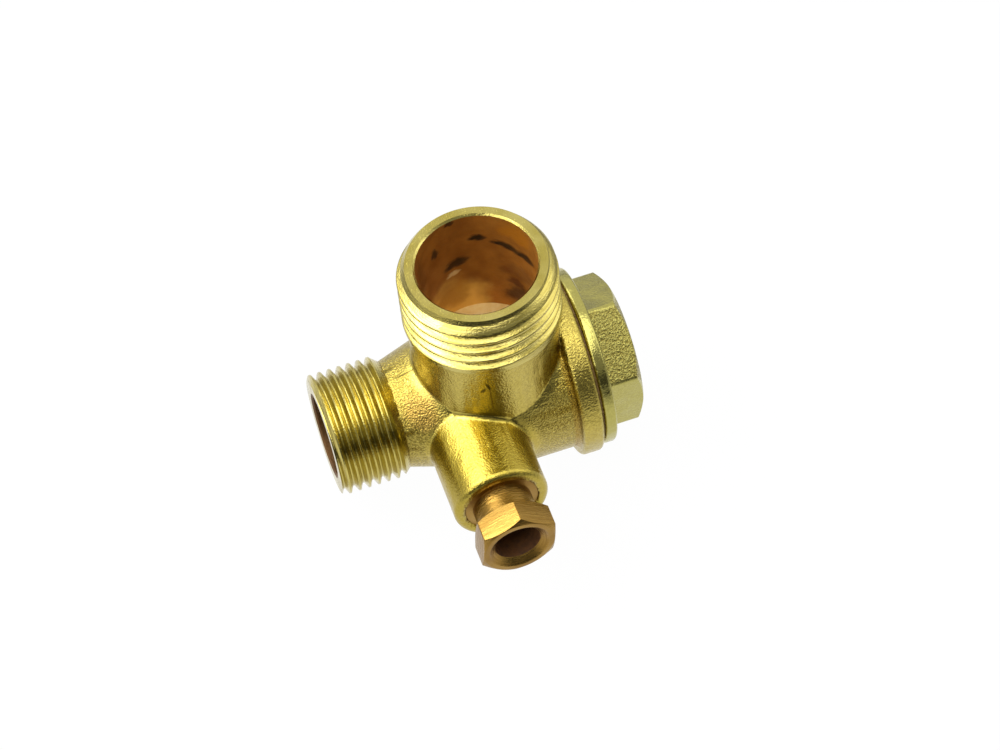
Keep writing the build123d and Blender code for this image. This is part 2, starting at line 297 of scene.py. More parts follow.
@dataclass(frozen=True)
class Finish:
    """What all finishes share: two tones and two degrees of gloss that a pattern runs between, and stains."""

    name: str = "plain"
    pale: str = "#808080"
    deep: str = "#606060"
    roughness: tuple[float, float] = (0.3, 0.5)
    metallic: float = 1.0
    tone_mm: float = 1.0
    stains: tuple[Stain, ...] = ()
    relief_height_mm: float = 0.004

    def material(self) -> bpy.types.Material:
        """Builds the material."""
        material = bpy.data.materials.new(self.name)
        material.use_nodes = True
        tree = material.node_tree
        shader = tree.nodes["Principled BSDF"]
        shader.inputs["Metallic"].default_value = self.metallic
        place = add_node(tree, "ShaderNodeTexCoord").outputs["Object"]
        tone = self.tone(tree, place)
        mixed = add_node(tree, "ShaderNodeMix", {6: hex_colour(self.deep), 7: hex_colour(self.pale)},
                         {0: tone}, data_type="RGBA")
        colour = mixed.outputs[2]
        for stain in self.stains:
            colour = stain.lay_over(tree, place, colour)
        gloss = add_node(tree, "ShaderNodeMapRange",
                         {"To Min": self.roughness[1], "To Max": self.roughness[0]}, {"Value": tone})
        tree.links.new(colour, shader.inputs["Base Color"])
        tree.links.new(gloss.outputs["Result"], shader.inputs["Roughness"])
        tree.links.new(self.relief(tree, place), shader.inputs["Normal"])
        return material

    def tone(self, tree: bpy.types.NodeTree, place: bpy.types.NodeSocket) -> bpy.types.NodeSocket:
        """The pattern, from 0 to 1, that the tones and the gloss follow."""
        return self.cloud(tree, place, self.tone_mm)

    def relief(self, tree: bpy.types.NodeTree, place: bpy.types.NodeSocket) -> bpy.types.NodeSocket:
        """The surface's fine relief."""
        return add_node(tree, "ShaderNodeBump", {"Distance": self.relief_height_mm * MM},
                        {"Height": self.cloud(tree, place, self.tone_mm)}).outputs["Normal"]

    def cloud(self, tree: bpy.types.NodeTree, place: bpy.types.NodeSocket, size_mm: float,
              detail: float = 3.0) -> bpy.types.NodeSocket:
        """A cloudy pattern.

        Args:
            tree: The material's node tree.
            place: The place on the piece.
            size_mm: The width of its features.
            detail: How many finer layers it has.

        Returns:
            The pattern, spread from 0 to 1.
        """
        noise = add_node(tree, "ShaderNodeTexNoise", {"Scale": per_size(size_mm), "Detail": detail},
                         {"Vector": place})
        spread = add_node(tree, "ShaderNodeMapRange", {"From Min": NOISE_LOW, "From Max": NOISE_HIGH},
                          {"Value": noise.outputs["Fac"]})
        return spread.outputs["Result"]


@dataclass(frozen=True)
class CastBrass(Finish):
    """Sand-cast brass, grit-blasted: a yellow metal with a sparkling grain, soft swells and rubbed parts."""

    name: str = "cast_brass_grit_blasted"
    pale: str = "#C2B058"
    deep: str = "#968236"
    roughness: tuple[float, float] = (0.15, 0.26)
    grain_mm: float = 0.27
    grain_height_mm: float = 0.075
    swell_mm: float = 2.6
    swell_height_mm: float = 0.05
    rubbed: tuple[Stain, ...] = ()

    def kept(self, tree: bpy.types.NodeTree, place: bpy.types.NodeSocket) -> bpy.types.NodeSocket:
        """How much of the grain is left at a place, from 0 where it is rubbed off to 1."""
        left = add_node(tree, "ShaderNodeValue")
        left.outputs[0].default_value = 1.0
        for patch in self.rubbed:
            bare = add_node(tree, "ShaderNodeMath", {0: 1.0}, {1: patch.share(tree, place)},
                            operation="SUBTRACT")
            left = add_node(tree, "ShaderNodeMath", None, {0: left.outputs[0], 1: bare.outputs[0]},
                            operation="MULTIPLY")
        return left.outputs[0]

    def tone(self, tree: bpy.types.NodeTree, place: bpy.types.NodeSocket) -> bpy.types.NodeSocket:
        """The grain's pits are dark and dull, and rubbed parts are pale and bright."""
        pits = add_node(tree, "ShaderNodeMath", {0: 1.0}, {1: self.cloud(tree, place, self.grain_mm)},
                        operation="SUBTRACT")
        dark = add_node(tree, "ShaderNodeMath", None, {0: pits.outputs[0], 1: self.kept(tree, place)},
                        operation="MULTIPLY")
        bright = add_node(tree, "ShaderNodeMath", {0: 1.0}, {1: dark.outputs[0]}, operation="SUBTRACT")
        return bright.outputs[0]

    def relief(self, tree: bpy.types.NodeTree, place: bpy.types.NodeSocket) -> bpy.types.NodeSocket:
        """The blasted grain over the casting's swells."""
        swell = add_node(tree, "ShaderNodeBump", {"Distance": self.swell_height_mm * MM},
                         {"Height": self.cloud(tree, place, self.swell_mm, 1.0)})
        grain = add_node(tree, "ShaderNodeBump", {"Distance": self.grain_height_mm * MM},
                         {"Height": self.cloud(tree, place, self.grain_mm),
                          "Strength": self.kept(tree, place), "Normal": swell.outputs["Normal"]})
        return grain.outputs["Normal"]


@dataclass(frozen=True)
class CutBrass(Finish):
    """Cut brass: bright yellow and smooth, with fine lines and small tears left by the tool.

    The real lines are finer, and are drawn as coarse as they need to show.
    """

    name: str = "cut_brass"
    pale: str = "#C8BA6C"
    deep: str = "#B0A04E"
    roughness: tuple[float, float] = (0.1, 0.2)
    port: Port = Port.OUTLET
    tone_mm: float = 0.16
    drawn_out: float = 0.04
    line_height_mm: float = 0.004
    tear_mm: float = 0.22
    tear_drawn_out: float = 0.22
    tear_height_mm: float = 0.012
    speckle_mm: float = 0.24
    speckle_height_mm: float = 0.012

    def drawn(self, tree: bpy.types.NodeTree, place: bpy.types.NodeSocket, size_mm: float,
              share: float) -> bpy.types.NodeSocket:
        """A cloudy pattern that is drawn out round the port's axis.

        Args:
            tree: The material's node tree.
            place: The place on the piece.
            size_mm: The width of its features along the axis.
            share: How far it is drawn out, 1 for not at all.

        Returns:
            The pattern, spread from 0 to 1.
        """
        scale = [share] * 3
        scale[self.port.value] = 1.0
        moved = add_node(tree, "ShaderNodeMapping", {"Scale": scale}, {"Vector": place})
        return self.cloud(tree, moved.outputs["Vector"], size_mm, 2.0)

    def tone(self, tree: bpy.types.NodeTree, place: bpy.types.NodeSocket) -> bpy.types.NodeSocket:
        """The tones follow the tool's lines."""
        return self.drawn(tree, place, self.tone_mm, self.drawn_out)

    def relief(self, tree: bpy.types.NodeTree, place: bpy.types.NodeSocket) -> bpy.types.NodeSocket:
        """The tool's lines as shallow grooves, over the tears and a fine speckle."""
        speckle = add_node(tree, "ShaderNodeBump", {"Distance": self.speckle_height_mm * MM},
                           {"Height": self.cloud(tree, place, self.speckle_mm)})
        tears = add_node(tree, "ShaderNodeBump", {"Distance": self.tear_height_mm * MM},
                         {"Height": self.drawn(tree, place, self.tear_mm, self.tear_drawn_out),
                          "Normal": speckle.outputs["Normal"]})
        return add_node(tree, "ShaderNodeBump", {"Distance": self.line_height_mm * MM},
                        {"Height": self.tone(tree, place),
                         "Normal": tears.outputs["Normal"]}).outputs["Normal"]


def port_mark(angle: float, height: float, width: float, tall: float, tilt: float, colour: str,
              strength: float = 0.85, radius: float = OUTLET_BORE_RADIUS) -> Stain:
    """Places a stain on the outlet port, inside it or outside.

    Args:
        angle: Where it is round the port, in degrees from +X.
        height: Its height above the thread's shoulder, in millimetres.
        width: Its half width round the bore, in millimetres.
        tall: Its half height, in millimetres.
        tilt: How far it leans, in degrees.
        colour: Its colour.
        strength: How far it covers the metal.
        radius: Its distance from the port's axis, in millimetres.

    Returns:
        The stain.
    """
    turned = math.radians(angle)
    middle = (radius * math.cos(turned), radius * math.sin(turned), height)
    return Stain(middle, (1.5, width, tall), (tilt, 0.0, angle), colour, strength)


def cap_face(angle: float) -> Stain:
    """The smooth patch on one of the cap's six faces, by its angle round the main axis in degrees."""
    turn = math.radians(angle)
    middle = (CAP_FACE_MIDDLE, CAP_FACE_RADIUS * math.cos(turn),
              MAIN_AXIS_Z / MM + CAP_FACE_RADIUS * math.sin(turn))
    return Stain(middle, CAP_FACE_REACH, (angle, 0, 0), strength=0.7, ragged=0.05, core=0.9)


@dataclass(frozen=True)
class CapBrass(CastBrass):
    """Forged brass, grit-blasted: paler than the casting, its rim and five of its six faces rubbed smooth."""

    name: str = "cap_brass_grit_blasted"
    pale: str = "#B6AE60"
    deep: str = "#827434"
    rubbed: tuple[Stain, ...] = (
        Stain((12.6, 0, -16.7), (1.5, 60, 60), strength=0.8, ragged=0.1, core=0.8),
        *(cap_face(angle) for angle in (4.4, 64.4, 184.4, 244.4, 304.4)),
    )


@dataclass(frozen=True)
class ShadedStainedBore(Finish):
    """Bored brass left raw inside: dull copper-brown, partly painted shade, with soot-dark smudges, pale spots
    and a painted sheen.
    """

    name: str = "bored_brass_tarnished"
    # Copper-brown: partly the raw bore's own colour, partly painted shade with a painted orange reflection of
    # the hollow.
    pale: str = "#BC8030"
    deep: str = "#A06822"
    roughness: tuple[float, float] = (0.38, 0.55)
    metallic: float = 0.5
    tone_mm: float = 3.0
    grain_mm: float = 0.35
    grain_height_mm: float = 0.015
    stains: tuple[Stain, ...] = (
        # Painted sheen: a pale patch low on the outlet bore's back wall, by the floor.
        Stain((-2.2, 7.6, -8.4), (7, 5, 7.0), colour="#FFD878", strength=0.85),
        # Painted shade: the whole inlet passage darkened.
        Stain((-18.5, 0, -16.7), (16, 15, 15), colour="#3E2A12", strength=0.9, ragged=0.1),
        port_mark(74, 4.9, 1.5, 0.8, 0, "#1C0E06", 0.95),
        port_mark(47, 3.9, 2.6, 0.8, 10, "#1C0E06", 0.95),
        port_mark(24, 3.5, 2.4, 0.9, -6, "#1C0E06", 0.95),
        port_mark(119, 4.9, 0.8, 1.2, 0, "#38200C"),
        port_mark(97, 0.6, 2.3, 1.1, -12, "#2E180A", 0.9),
        port_mark(101, -1.3, 1.3, 0.6, -14, "#FFE8B0", 0.95),
        port_mark(99, 9.1, 0.9, 0.7, 0, "#33200F"),
        # Painted sheen: paler orange low on the back wall.
        port_mark(106, -5.8, 4.0, 3.0, 0, "#C49034", 0.7),
        port_mark(34, 7.2, 3.8, 2.2, 0, "#C4801A", 0.75),
        # Painted shade: darker and darker towards the bottom of the bore on its +X side.
        port_mark(36, -1.0, 4.0, 2.0, 0, "#7A4A18", 0.6),
        port_mark(40, -3.4, 1.6, 1.0, 0, "#5E3010", 0.7),
        port_mark(36, -6.0, 2.8, 2.4, 0, "#4A240C", 0.8),
        port_mark(150, 3.0, 2.6, 6.0, 0, "#7A4A18", 0.6),
    )

    def relief(self, tree: bpy.types.NodeTree, place: bpy.types.NodeSocket) -> bpy.types.NodeSocket:
        """The raw surface's grain."""
        return add_node(tree, "ShaderNodeBump", {"Distance": self.grain_height_mm * MM},
                        {"Height": self.cloud(tree, place, self.grain_mm, 2.0)}).outputs["Normal"]


@dataclass(frozen=True)
class MouldedRubber(Finish):
    """Moulded nitrile rubber: near black and matt, a little mottled."""

    name: str = "nitrile_rubber_moulded"
    pale: str = "#2A2928"
    deep: str = "#171615"
    roughness: tuple[float, float] = (0.55, 0.75)
    metallic: float = 0.0


@dataclass(frozen=True)
class PressedFibre(Finish):
    """Pressed vulcanised fibre: brown, dry and slightly flecked."""

    name: str = "vulcanised_fibre_pressed"
    pale: str = "#8A6E3A"
    deep: str = "#6A5028"
    roughness: tuple[float, float] = (0.6, 0.85)
    metallic: float = 0.0
    tone_mm: float = 0.3


@dataclass(frozen=True)
class DrawnSteel(Finish):
    """Drawn stainless spring wire: cool grey and satin, with faint draw marks."""

    name: str = "stainless_wire_drawn"
    pale: str = "#C9C7C2"
    deep: str = "#A5A39E"
    roughness: tuple[float, float] = (0.2, 0.4)
    tone_mm: float = 0.25


@dataclass(frozen=True)
class PipeThread:
    """A right-hand 55-degree pipe thread, in millimetres.

    It is made standing on its shoulder at the origin, its open end along +Z, and then laid along its port.
    The flare rounds the crests: each step is a height above the crest and the ridge's width there,
    in pitches. The groove gets its depth over the run-in, in degrees.
    """

    crest_radius: float
    pitch: float
    straight: float
    lead_length: float
    lead_inset: float
    first_groove: float
    turn: float
    sleeve_wall: float = 1.4
    flats: float = 1 / 6
    depth_share: float = 0.6403
    root_round: float = 0.3
    flare: tuple[tuple[float, float], ...] = ((-0.08, 0.27), (-0.025, 0.2), (0.012, 0.11), (0.07, 0.09))
    steps: int = 128
    proud: float = 0.003
    run_in: float = 60.0

    def sleeve(self) -> bpy.types.Object:
        """Makes the thread's finely rounded blank, a ring that stands a hair proud of the CAD surface."""
        radius = (self.crest_radius + self.proud) * MM
        top = (self.straight + self.lead_length - self.proud) * MM
        top_radius = radius - self.lead_inset * MM
        bpy.ops.object.select_all(action="DESELECT")
        bpy.ops.mesh.primitive_cylinder_add(vertices=self.steps * 2, radius=radius, depth=self.straight * MM,
                                            location=(0, 0, self.straight * MM / 2))
        blank = bpy.context.object
        bpy.ops.object.transform_apply()
        pick(blank, Part.FACE, lambda p: p.z > (self.straight - 0.01) * MM)
        bpy.ops.mesh.extrude_region_move(TRANSFORM_OT_translate={"value": (0, 0, top - self.straight * MM)})
        bpy.ops.transform.resize(value=(top_radius / radius, top_radius / radius, 1))
        inner = radius - self.sleeve_wall * MM
        bpy.ops.mesh.inset(thickness=top_radius - inner)
        pick(blank, Part.FACE, lambda p: p.z < 0.01 * MM)
        bpy.ops.mesh.inset(thickness=radius - inner)
        pick(blank, Part.FACE, lambda p: p.xy.length < inner / 2)
        bpy.ops.mesh.bridge_edge_loops()
        bpy.ops.object.mode_set(mode="OBJECT")
        return blank

    def groove(self) -> bpy.types.Object:
        """Makes the helical shape that is cut out of the blank."""
        pitch = self.pitch * MM
        depth = pitch * self.depth_share
        flat = pitch * self.flats
        crest = self.crest_radius * MM
        root = crest - depth
        start, ridge = self.flare[0]
        reach = depth + start * pitch
        width = pitch * (1 - ridge)
        bpy.ops.object.select_all(action="DESELECT")
        bpy.ops.mesh.primitive_plane_add(size=1, rotation=(math.pi / 2, 0, 0))
        tool = bpy.context.object
        tool.scale = (reach, width, 1)
        tool.location = (root + reach / 2, 0, self.first_groove * MM)
        bpy.ops.object.transform_apply()
        pick(tool, Part.VERT, lambda p: p.x < root + reach / 2)
        bpy.ops.transform.resize(value=(1, 1, flat / width))
        bpy.ops.mesh.bevel(offset=flat * self.root_round, segments=2, affect="VERTICES")
        for rise, ridge in self.flare[1:]:
            pick(tool, Part.VERT, lambda p: p.x > root + reach - 0.001 * MM)
            step = depth + rise * pitch - reach
            bpy.ops.mesh.extrude_region_move(TRANSFORM_OT_translate={"value": (step, 0, 0)})
            bpy.ops.transform.resize(value=(1, 1, pitch * (1 - ridge) / width))
            reach += step
            width = pitch * (1 - ridge)
        bpy.ops.mesh.select_mode(type="FACE")
        bpy.ops.mesh.select_all(action="SELECT")
        bpy.ops.mesh.dissolve_faces()
        bpy.ops.mesh.select_all(action="SELECT")
        bpy.ops.mesh.delete(type="ONLY_FACE")
        bpy.ops.object.mode_set(mode="OBJECT")
        turns = math.ceil((self.straight + self.lead_length - self.first_groove) / self.pitch) + 1
        apply_modifier(tool, "SCREW", axis="Z", angle=2 * math.pi, screw_offset=self.pitch * MM,
                       iterations=turns, steps=self.steps, render_steps=self.steps,
                       use_merge_vertices=True, merge_threshold=0.001 * MM)
        self.deepen_slowly(tool, depth)
        close_ends()
        tool.rotation_euler = (0, 0, math.radians(self.turn))
        bpy.ops.object.transform_apply()
        return tool

    def deepen_slowly(self, tool: bpy.types.Object, depth: float) -> None:
        """Lifts the start of the groove's shape out of the metal, so that the groove deepens slowly."""
        slack = 0.01
        clearance = 1.1
        for vertex in tool.data.vertices:
            turned = (math.atan2(vertex.co.y, vertex.co.x) + slack) % (2 * math.pi) - slack
            above = vertex.co.z / MM - self.first_groove - self.pitch * turned / (2 * math.pi)
            lift = 1 - turned / math.radians(self.run_in)
            if lift > 0 and above < self.pitch / 2:
                vertex.co.xy *= 1 + clearance * depth * lift / vertex.co.xy.length


class BodySurface(Enum):
    """The differently made surfaces of the casting, in the order of its material slots."""

    CAST = 0
    OUTLET_THREAD = 1
    INLET_THREAD = 2
    BORE = 3
    BORE_FLOOR = 4


@dataclass
class ValveCasting:
    """The cast body with its two cut threads and its bored passages, in millimetres."""

    name: str = "valve_casting"
    outlet: PipeThread = PipeThread(10.475, 1.814, 7.9, 1.8, 1.2, 0.85, 90.0)
    inlet: PipeThread = PipeThread(8.33, 1.337, 8.25, 0.35, 0.35, -0.4, 90.0)
    outlet_bore_radius: float = OUTLET_BORE_RADIUS + 0.05
    bore_floor: float = -9.25
    floor_margin: float = 0.05
    inlet_bore_radius: float = 5.95
    inlet_bore_end: float = -1.0
    chamber_radius: float = 9.2
    chamber_start: float = -3.0
    chamber_end: float = 11.65
    thread_start: float = -0.5
    inlet_shoulder: float = -13.9
    smooth_angle: float = 32.0
    # Painted light: the bore's floor is near white and hardly metallic, so that it reads as lit.
    painted_lit_floor: Finish = Finish("cast_brass_bare_floor", "#FFE8A0", "#F6D684", (0.45, 0.6), 0.1, 1.2)
    skin: Finish = CastBrass(
        rubbed=(Stain((0, 0, -4), (11.4, 11.4, 40), strength=0.6, ragged=0.1, core=0.9),
                Stain((-4.7, -14, -16.7), (8.8, 13, 8.8), strength=0.62, ragged=0.1, core=0.85),
                Stain((11.2, 0, -16.7), (2.7, 60, 60), strength=0.45, ragged=0.1, core=0.8)),
        stains=(Stain((8.35, 0, -16.7), (0.55, 40, 40), colour="#A8842C", strength=0.5, ragged=0.2),
                # A deeper, darker yellow on the boss: partly its own tint, partly painted shade that dims its
                # highlight.
                Stain((-4.7, -14, -16.7), (8.8, 13, 8.8), colour="#A8922E", strength=0.6, ragged=0.1,
                      core=0.7),
                Stain((-11, -5, -10.5), (3.4, 4.2, 3.2), colour="#B8924A", strength=0.6),
                Stain((-11.4, 0, -8.7), (2.4, 0.14, 0.8), (0, -16.5, 0), "#4A3A14", 0.8, 0.3),
                port_mark(-104, -5.2, 0.13, 4.8, 3, "#6A5520", 0.7, NECK_RADIUS),
                port_mark(-105, -3.6, 0.3, 1.0, 20, "#2E240C", 0.85, NECK_RADIUS),
                port_mark(-109, -4.4, 0.35, 0.7, -35, "#2E240C", 0.85, NECK_RADIUS)))

    def build(self) -> bpy.types.Object:
        """Builds and dresses the casting.

        Returns:
            The finished piece.
        """
        piece = merged_copy("valve_body", self.name)
        self.cut_threads(piece)
        bpy.ops.object.shade_smooth_by_angle(angle=math.radians(self.smooth_angle))
        self.restore_cast_shading(piece)
        self.dress(piece)
        return piece

    def cut_threads(self, piece: bpy.types.Object) -> None:
        """Rounds the blanks of both ports and cuts their grooves."""
        shoulder = Vector(MOUNTS["inlet_thread"]["pos_m"])
        shoulder.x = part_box("valve_body")[0].x + (self.inlet.straight + self.inlet.lead_length) * MM
        lay = Matrix.Translation(shoulder) @ Matrix.Rotation(-math.pi / 2, 4, "Y")
        for make, cut in ((PipeThread.sleeve, Cut.JOIN), (PipeThread.groove, Cut.REMOVE)):
            inlet_tool = make(self.inlet)
            inlet_tool.data.transform(lay)
            tool = make(self.outlet)
            select_only(tool)
            inlet_tool.select_set(True)
            bpy.ops.object.join()
            combine(piece, tool, cut)
        merge_doubles(0.0002)

    def restore_cast_shading(self, piece: bpy.types.Object) -> None:
        """Gives the cast skin the CAD surface's own smooth shading, which the cutting spoils."""
        group = piece.vertex_groups.new(name="cast_skin")
        skin, other = set(), set()
        for face in piece.data.polygons:
            cast = self.surface_at(face.center) is BodySurface.CAST
            (skin if cast else other).update(face.vertices)
        group.add(list(skin - other), 1.0, "REPLACE")
        apply_modifier(piece, "DATA_TRANSFER", object=frame["nodes"]["valve_body"], use_loop_data=True,
                       data_types_loops={"CUSTOM_NORMAL"}, loop_mapping="NEAREST_POLYNOR",
                       vertex_group=group.name)

    def surface_at(self, middle: Vector) -> BodySurface:
        """Says how the surface at a place was made."""
        place = middle / MM
        from_main = math.hypot(place.y, place.z - MAIN_AXIS_Z / MM)
        if place.xy.length < self.outlet_bore_radius and abs(place.z - self.bore_floor) < self.floor_margin:
            return BodySurface.BORE_FLOOR
        if place.z > self.bore_floor and place.xy.length < self.outlet_bore_radius:
            return BodySurface.BORE
        if place.x < self.inlet_bore_end and from_main < self.inlet_bore_radius:
            return BodySurface.BORE
        if self.chamber_start < place.x < self.chamber_end and from_main < self.chamber_radius:
            return BodySurface.BORE
        if place.z > self.thread_start:
            return BodySurface.OUTLET_THREAD
        if place.x < self.inlet_shoulder:
            return BodySurface.INLET_THREAD
        return BodySurface.CAST

    def dress(self, piece: bpy.types.Object) -> None:
        """Gives each surface of the casting its finish."""
        finishes = (self.skin, CutBrass("cut_brass_outlet", port=Port.OUTLET),
                    CutBrass("cut_brass_inlet", port=Port.INLET), ShadedStainedBore(), self.painted_lit_floor)
        piece.data.materials.clear()
        for finish in finishes:
            piece.data.materials.append(finish.material())
        for face in piece.data.polygons:
            face.material_index = self.surface_at(face.center).value
        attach(piece, "body")
        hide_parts("valve_body")


@dataclass
class DressedNode:
    """A CAD node that keeps its own shape and only gets a finish."""

    node: str
    slot: str
    finish: Finish

    def build(self) -> bpy.types.Object:
        """Gives the node its finish.

        Returns:
            The CAD object.
        """
        piece = frame["nodes"][self.node]
        piece.data.materials.clear()
        piece.data.materials.append(self.finish.material())
        return piece


@dataclass
class SoftenedNode:
    """A CAD piece with softened edges, in millimetres and degrees.

    A hole along Y can have its own finish, and a shoulder, given by its place along Y, can be shifted along Y.
    """

    node: str
    body: str
    slot: str
    finish: Finish
    edge: float
    hole_finish: Finish | None = None
    hole_radius: float = 0.0
    shoulder: float = math.inf
    shoulder_shift: float = 0.0
    shoulder_margin: float = 0.02
    flat_angle: float = 0.5
    edge_angle: float = 25.0
    smooth_angle: float = 35.0

    def build(self) -> bpy.types.Object:
        """Builds and dresses the piece.

        Returns:
            The finished piece.
        """
        piece = merged_copy(self.node, f"{self.node}_softened")
        bpy.ops.object.mode_set(mode="EDIT")
        bpy.ops.mesh.select_all(action="SELECT")
        bpy.ops.mesh.dissolve_limited(angle_limit=math.radians(self.flat_angle))
        pick(piece, Part.VERT, lambda p: abs(p.y / MM - self.shoulder) < self.shoulder_margin)
        bpy.ops.transform.translate(value=(0, self.shoulder_shift * MM, 0))
        bpy.ops.object.mode_set(mode="OBJECT")
        apply_modifier(piece, "BEVEL", width=self.edge * MM, segments=3, limit_method="ANGLE",
                       angle_limit=math.radians(self.edge_angle))
        merge_doubles(0.003)
        bpy.ops.object.shade_smooth_by_angle(angle=math.radians(self.smooth_angle))
        self.dress(piece)
        return piece

    def dress(self, piece: bpy.types.Object) -> None:
        """Gives the outside and the hole their finishes."""
        piece.data.materials.clear()
        for finish in filter(None, (self.finish, self.hole_finish)):
            piece.data.materials.append(finish.material())
        low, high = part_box(self.node)
        middle = (low + high) / 2
        inside = [(v.co - middle).xz.length < self.hole_radius * MM for v in piece.data.vertices]
        for face in piece.data.polygons:
            face.material_index = int(all(inside[i] for i in face.vertices))
        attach(piece, self.body)
        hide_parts(self.node)


@dataclass
class PoppetSpring:
    """The poppet's coil spring, in millimetres, built at one length."""

    name: str = "poppet_coil"
    wire_radius: float = 0.4
    turns: float = 5.5
    joint: str = "poppet_lift"
    wire_sides: int = 14
    steps: int = 48
    smooth_angle: float = 40.0

    def build(self) -> bpy.types.Object:
        """Builds and dresses the spring.

        Returns:
            The finished piece.
        """
        low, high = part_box("poppet_spring")
        coil_radius = (high.z - low.z) / 2 - self.wire_radius * MM
        rise = (high.x - low.x) - 2 * self.wire_radius * MM
        bpy.ops.object.select_all(action="DESELECT")
        bpy.ops.mesh.primitive_circle_add(vertices=self.wire_sides, radius=self.wire_radius * MM,
                                          location=(coil_radius, 0, self.wire_radius * MM),
                                          rotation=(math.pi / 2, 0, 0))
        spring = bpy.context.object
        spring.name = self.name
        bpy.ops.object.transform_apply()
        count = round(self.turns * self.steps)
        apply_modifier(spring, "SCREW", axis="Z", angle=2 * math.pi * self.turns, screw_offset=rise,
                       iterations=1, steps=count, render_steps=count)
        close_ends()
        middle = (low + high) / 2
        lay = Matrix.Translation((low.x, middle.y, middle.z)) @ Matrix.Rotation(math.pi / 2, 4, "Y")
        spring.data.transform(lay)
        bpy.ops.object.shade_smooth_by_angle(angle=math.radians(self.smooth_angle))
        spring.data.materials.append(DrawnSteel().material())
        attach(spring, "body")
        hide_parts("poppet_spring")
        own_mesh(spring)
        return spring


@dataclass(frozen=True)
class Softbox:
    """A flat soft lamp that faces the valve: its direction and spread in degrees, distance in metres."""

    name: str
    longitude: float
    latitude: float
    width: float
    height: float
    distance: float
    brightness: float

    def build(self, middle: Vector) -> bpy.types.Object:
        """Hangs the lamp.

        Args:
            middle: The point that it faces.

        Returns:
            The lamp.
        """
        lamp = bpy.data.lights.new(self.name, "AREA")
        lamp.shape = "RECTANGLE"
        lamp.size = 2 * self.distance * math.tan(math.radians(self.width / 2))
        lamp.size_y = 2 * self.distance * math.tan(math.radians(self.height / 2))
        lamp.energy = self.brightness * math.pi * lamp.size * lamp.size_y
        box = bpy.data.objects.new(self.name, lamp)
        bpy.context.scene.collection.objects.link(box)
        towards = direction(self.longitude, self.latitude)
        box.location = middle + towards * self.distance
        box.rotation_euler = towards.to_track_quat("Z", "Y").to_euler()
        box.visible_camera = False
        return box


@dataclass(frozen=True)
class DarkPatch:
    """A dim part of the room that the metal mirrors: its direction, half spread in degrees and brightness."""

    longitude: float
    latitude: float
    half_width: float
    half_height: float
    brightness: float
    edge: float = 0.35

    def lay_over(self, tree: bpy.types.NodeTree, towards: bpy.types.NodeSocket,
                 room: bpy.types.NodeSocket) -> bpy.types.NodeSocket:
        """Darkens the room in this direction.

        Args:
            tree: The world's node tree.
            towards: The direction that is looked in.
            room: The room's brightness there so far.

        Returns:
            The brightness with this patch in it.
        """
        ahead = direction(self.longitude, self.latitude)
        across = direction(self.longitude + 90, 0) / math.sin(math.radians(self.half_width))
        upwards = ahead.cross(across).normalized() / math.sin(math.radians(self.half_height))
        sides = [add_node(tree, "ShaderNodeVectorMath", {1: axis}, {0: towards}, operation="DOT_PRODUCT")
                 for axis in (across, upwards)]
        flat = add_node(tree, "ShaderNodeCombineXYZ", None,
                        {"X": sides[0].outputs["Value"], "Y": sides[1].outputs["Value"]})
        away = add_node(tree, "ShaderNodeVectorMath", None, {0: flat.outputs["Vector"]}, operation="LENGTH")
        within = add_node(tree, "ShaderNodeMapRange", {"From Min": 1 + self.edge, "From Max": 1 - self.edge},
                          {"Value": away.outputs["Value"]}, interpolation_type="SMOOTHSTEP")
        facing = add_node(tree, "ShaderNodeVectorMath", {1: ahead}, {0: towards}, operation="DOT_PRODUCT")
        front = add_node(tree, "ShaderNodeMath", {1: 0.0}, {0: facing.outputs["Value"]},
                         operation="GREATER_THAN")
        share = add_node(tree, "ShaderNodeMath", None,
                         {0: within.outputs["Result"], 1: front.outputs[0]}, operation="MULTIPLY")
        mixed = add_node(tree, "ShaderNodeMix", {3: self.brightness}, {0: share.outputs[0], 2: room},
                         data_type="FLOAT")
        return mixed.outputs[0]


